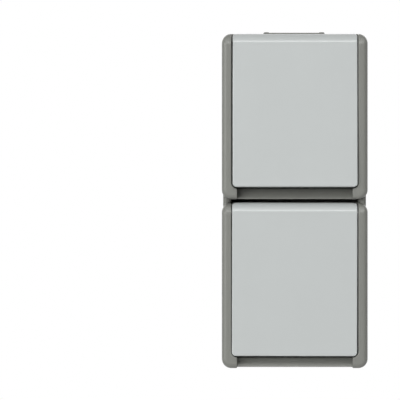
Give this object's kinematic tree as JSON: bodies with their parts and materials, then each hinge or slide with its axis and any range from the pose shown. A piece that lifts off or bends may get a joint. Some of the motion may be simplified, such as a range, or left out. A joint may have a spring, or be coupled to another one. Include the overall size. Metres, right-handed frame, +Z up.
{
  "type": "rocker wall switch",
  "caption": "Surface-mounted damp-location wall unit: a wide rocker switch above a spring-lidded earthed socket, in grey plastic covers on a shared box.",
  "frame": {"origin": "middle of the rear face of the box, on the wall plane", "axes": "+Z up, +Y into the wall, +X to the right of someone who faces the unit"},
  "size_m": [0.066, 0.0558, 0.1529],
  "materials": {
    "light_grey_plastic": "satin moulded plastic, light grey",
    "dark_grey_plastic": "satin moulded plastic, dark olive grey",
    "pale_grey_plastic": "satin moulded plastic, light grey",
    "black_plastic": "moulded insulating plastic, black",
    "black_rubber": "soft rubber, matt black",
    "brass": "rolled brass",
    "zinc_steel": "zinc-plated steel"
  },
  "bodies": {
    "box": {"back_box": "dark_grey_plastic", "bottom_cable_grommet": "black_rubber", "common_contact": "brass", "common_terminal_screw": "zinc_steel", "contact_sleeve_left": "brass", "contact_sleeve_right": "brass", "earth_bracket": "zinc_steel", "earth_terminal_screw": "zinc_steel", "lid_hinge_pin": "zinc_steel", "lid_spring": "zinc_steel", "lower_contact": "brass", "lower_frame": "dark_grey_plastic", "lower_frame_screw_left": "zinc_steel", "lower_frame_screw_right": "zinc_steel", "lower_gasket": "black_rubber", "lower_terminal_screw": "zinc_steel", "socket_base": "black_plastic", "socket_centre_screw": "zinc_steel", "socket_cup": "pale_grey_plastic", "socket_screw_left": "zinc_steel", "socket_screw_right": "zinc_steel", "socket_seal": "black_rubber", "socket_terminal_screw_left": "zinc_steel", "socket_terminal_screw_right": "zinc_steel", "switch_base": "black_plastic", "switch_screw_left": "zinc_steel", "switch_screw_right": "zinc_steel", "switch_seal": "black_rubber", "top_cable_grommet": "black_rubber", "upper_contact": "brass", "upper_frame": "dark_grey_plastic", "upper_frame_screw_left": "zinc_steel", "upper_frame_screw_right": "zinc_steel", "upper_gasket": "black_rubber", "upper_terminal_screw": "zinc_steel"},
    "rocker": {"rocker": "light_grey_plastic", "rocker_carrier": "black_plastic", "plunger": "black_plastic", "plunger_spring": "zinc_steel"},
    "contact_rocker": {"contact_rocker": "brass"},
    "lid": {"lid": "light_grey_plastic", "lid_seal": "black_rubber"}
  },
  "joints": [
    {"name": "rocker_tilt", "type": "hinge", "parent": "box", "child": "rocker", "pos_m": [0, -0.0475, 0.041], "axis": [1, 0, 0], "range_deg": [0, 5]},
    {"name": "contact_tilt", "type": "hinge", "parent": "box", "child": "contact_rocker", "pos_m": [0, -0.0269, 0.041], "axis": [1, 0, 0], "range_deg": [-18, 2]},
    {"name": "lid_hinge", "type": "hinge", "parent": "box", "child": "lid", "pos_m": [0, -0.049, -0.00545], "axis": [-1, 0, 0], "range_deg": [0, 88], "stiffness_Nm_per_rad": 0.012, "springref_deg": -57.3, "deforming": ["lid_spring"]}
  ],
  "couplings": [
    {"joint": "contact_tilt", "follows": "rocker_tilt", "ratio": -3.2}
  ]
}
